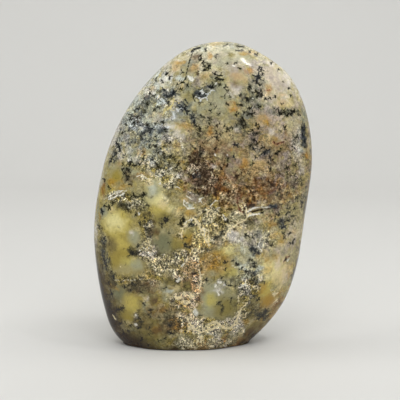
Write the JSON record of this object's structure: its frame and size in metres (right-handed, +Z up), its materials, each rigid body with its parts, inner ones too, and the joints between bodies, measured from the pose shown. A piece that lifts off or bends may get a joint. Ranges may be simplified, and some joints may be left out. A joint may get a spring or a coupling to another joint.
{
  "type": "dendritic agate freeform",
  "caption": "Freestanding freeform of polished dendritic agate, an upright rounded slab of stone on a flat sawn base, shown as a display piece.",
  "frame": {"origin": "middle of the stone's box at the level of its sawn base", "axes": "+Z up along the stone's length, +X to the right and +Y to the back, seen from the patterned front"},
  "size_m": [0.1148, 0.0456, 0.1603],
  "materials": {
    "agate": "high polish over khaki, cream and gold agate with black moss-like dendrites"
  },
  "bodies": {
    "root": {"agate_freeform": "agate"}
  },
  "joints": []
}
